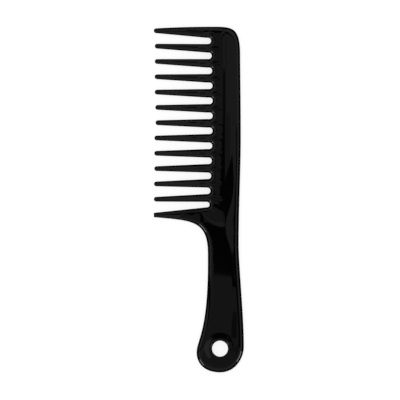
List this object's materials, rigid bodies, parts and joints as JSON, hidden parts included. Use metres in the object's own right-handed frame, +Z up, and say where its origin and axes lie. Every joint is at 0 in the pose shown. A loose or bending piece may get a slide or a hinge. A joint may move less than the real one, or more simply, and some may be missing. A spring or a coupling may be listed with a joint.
{
  "type": "wide tooth comb",
  "caption": "Wide tooth detangling comb in glossy black plastic: a straight back, long tapered teeth between two guard teeth, and a waisted handle with a hang hole.",
  "frame": {"origin": "middle of the footprint, on the surface that the comb lies on", "axes": "+Y along the comb from the hang hole to the head, -X from the back to the tooth tips, +Z up out of the broad face"},
  "size_m": [0.0624, 0.24, 0.006],
  "materials": {
    "black_plastic": "polished, injection-moulded, near black"
  },
  "bodies": {
    "root": {"back": "black_plastic", "head_guard_tooth": "black_plastic", "tooth_01": "black_plastic", "tooth_02": "black_plastic", "tooth_03": "black_plastic", "tooth_04": "black_plastic", "tooth_05": "black_plastic", "tooth_06": "black_plastic", "tooth_07": "black_plastic", "tooth_08": "black_plastic", "tooth_09": "black_plastic", "tooth_10": "black_plastic", "tooth_11": "black_plastic", "heel_guard_tooth": "black_plastic", "neck": "black_plastic", "grip": "black_plastic", "hang_eye": "black_plastic"}
  },
  "joints": []
}
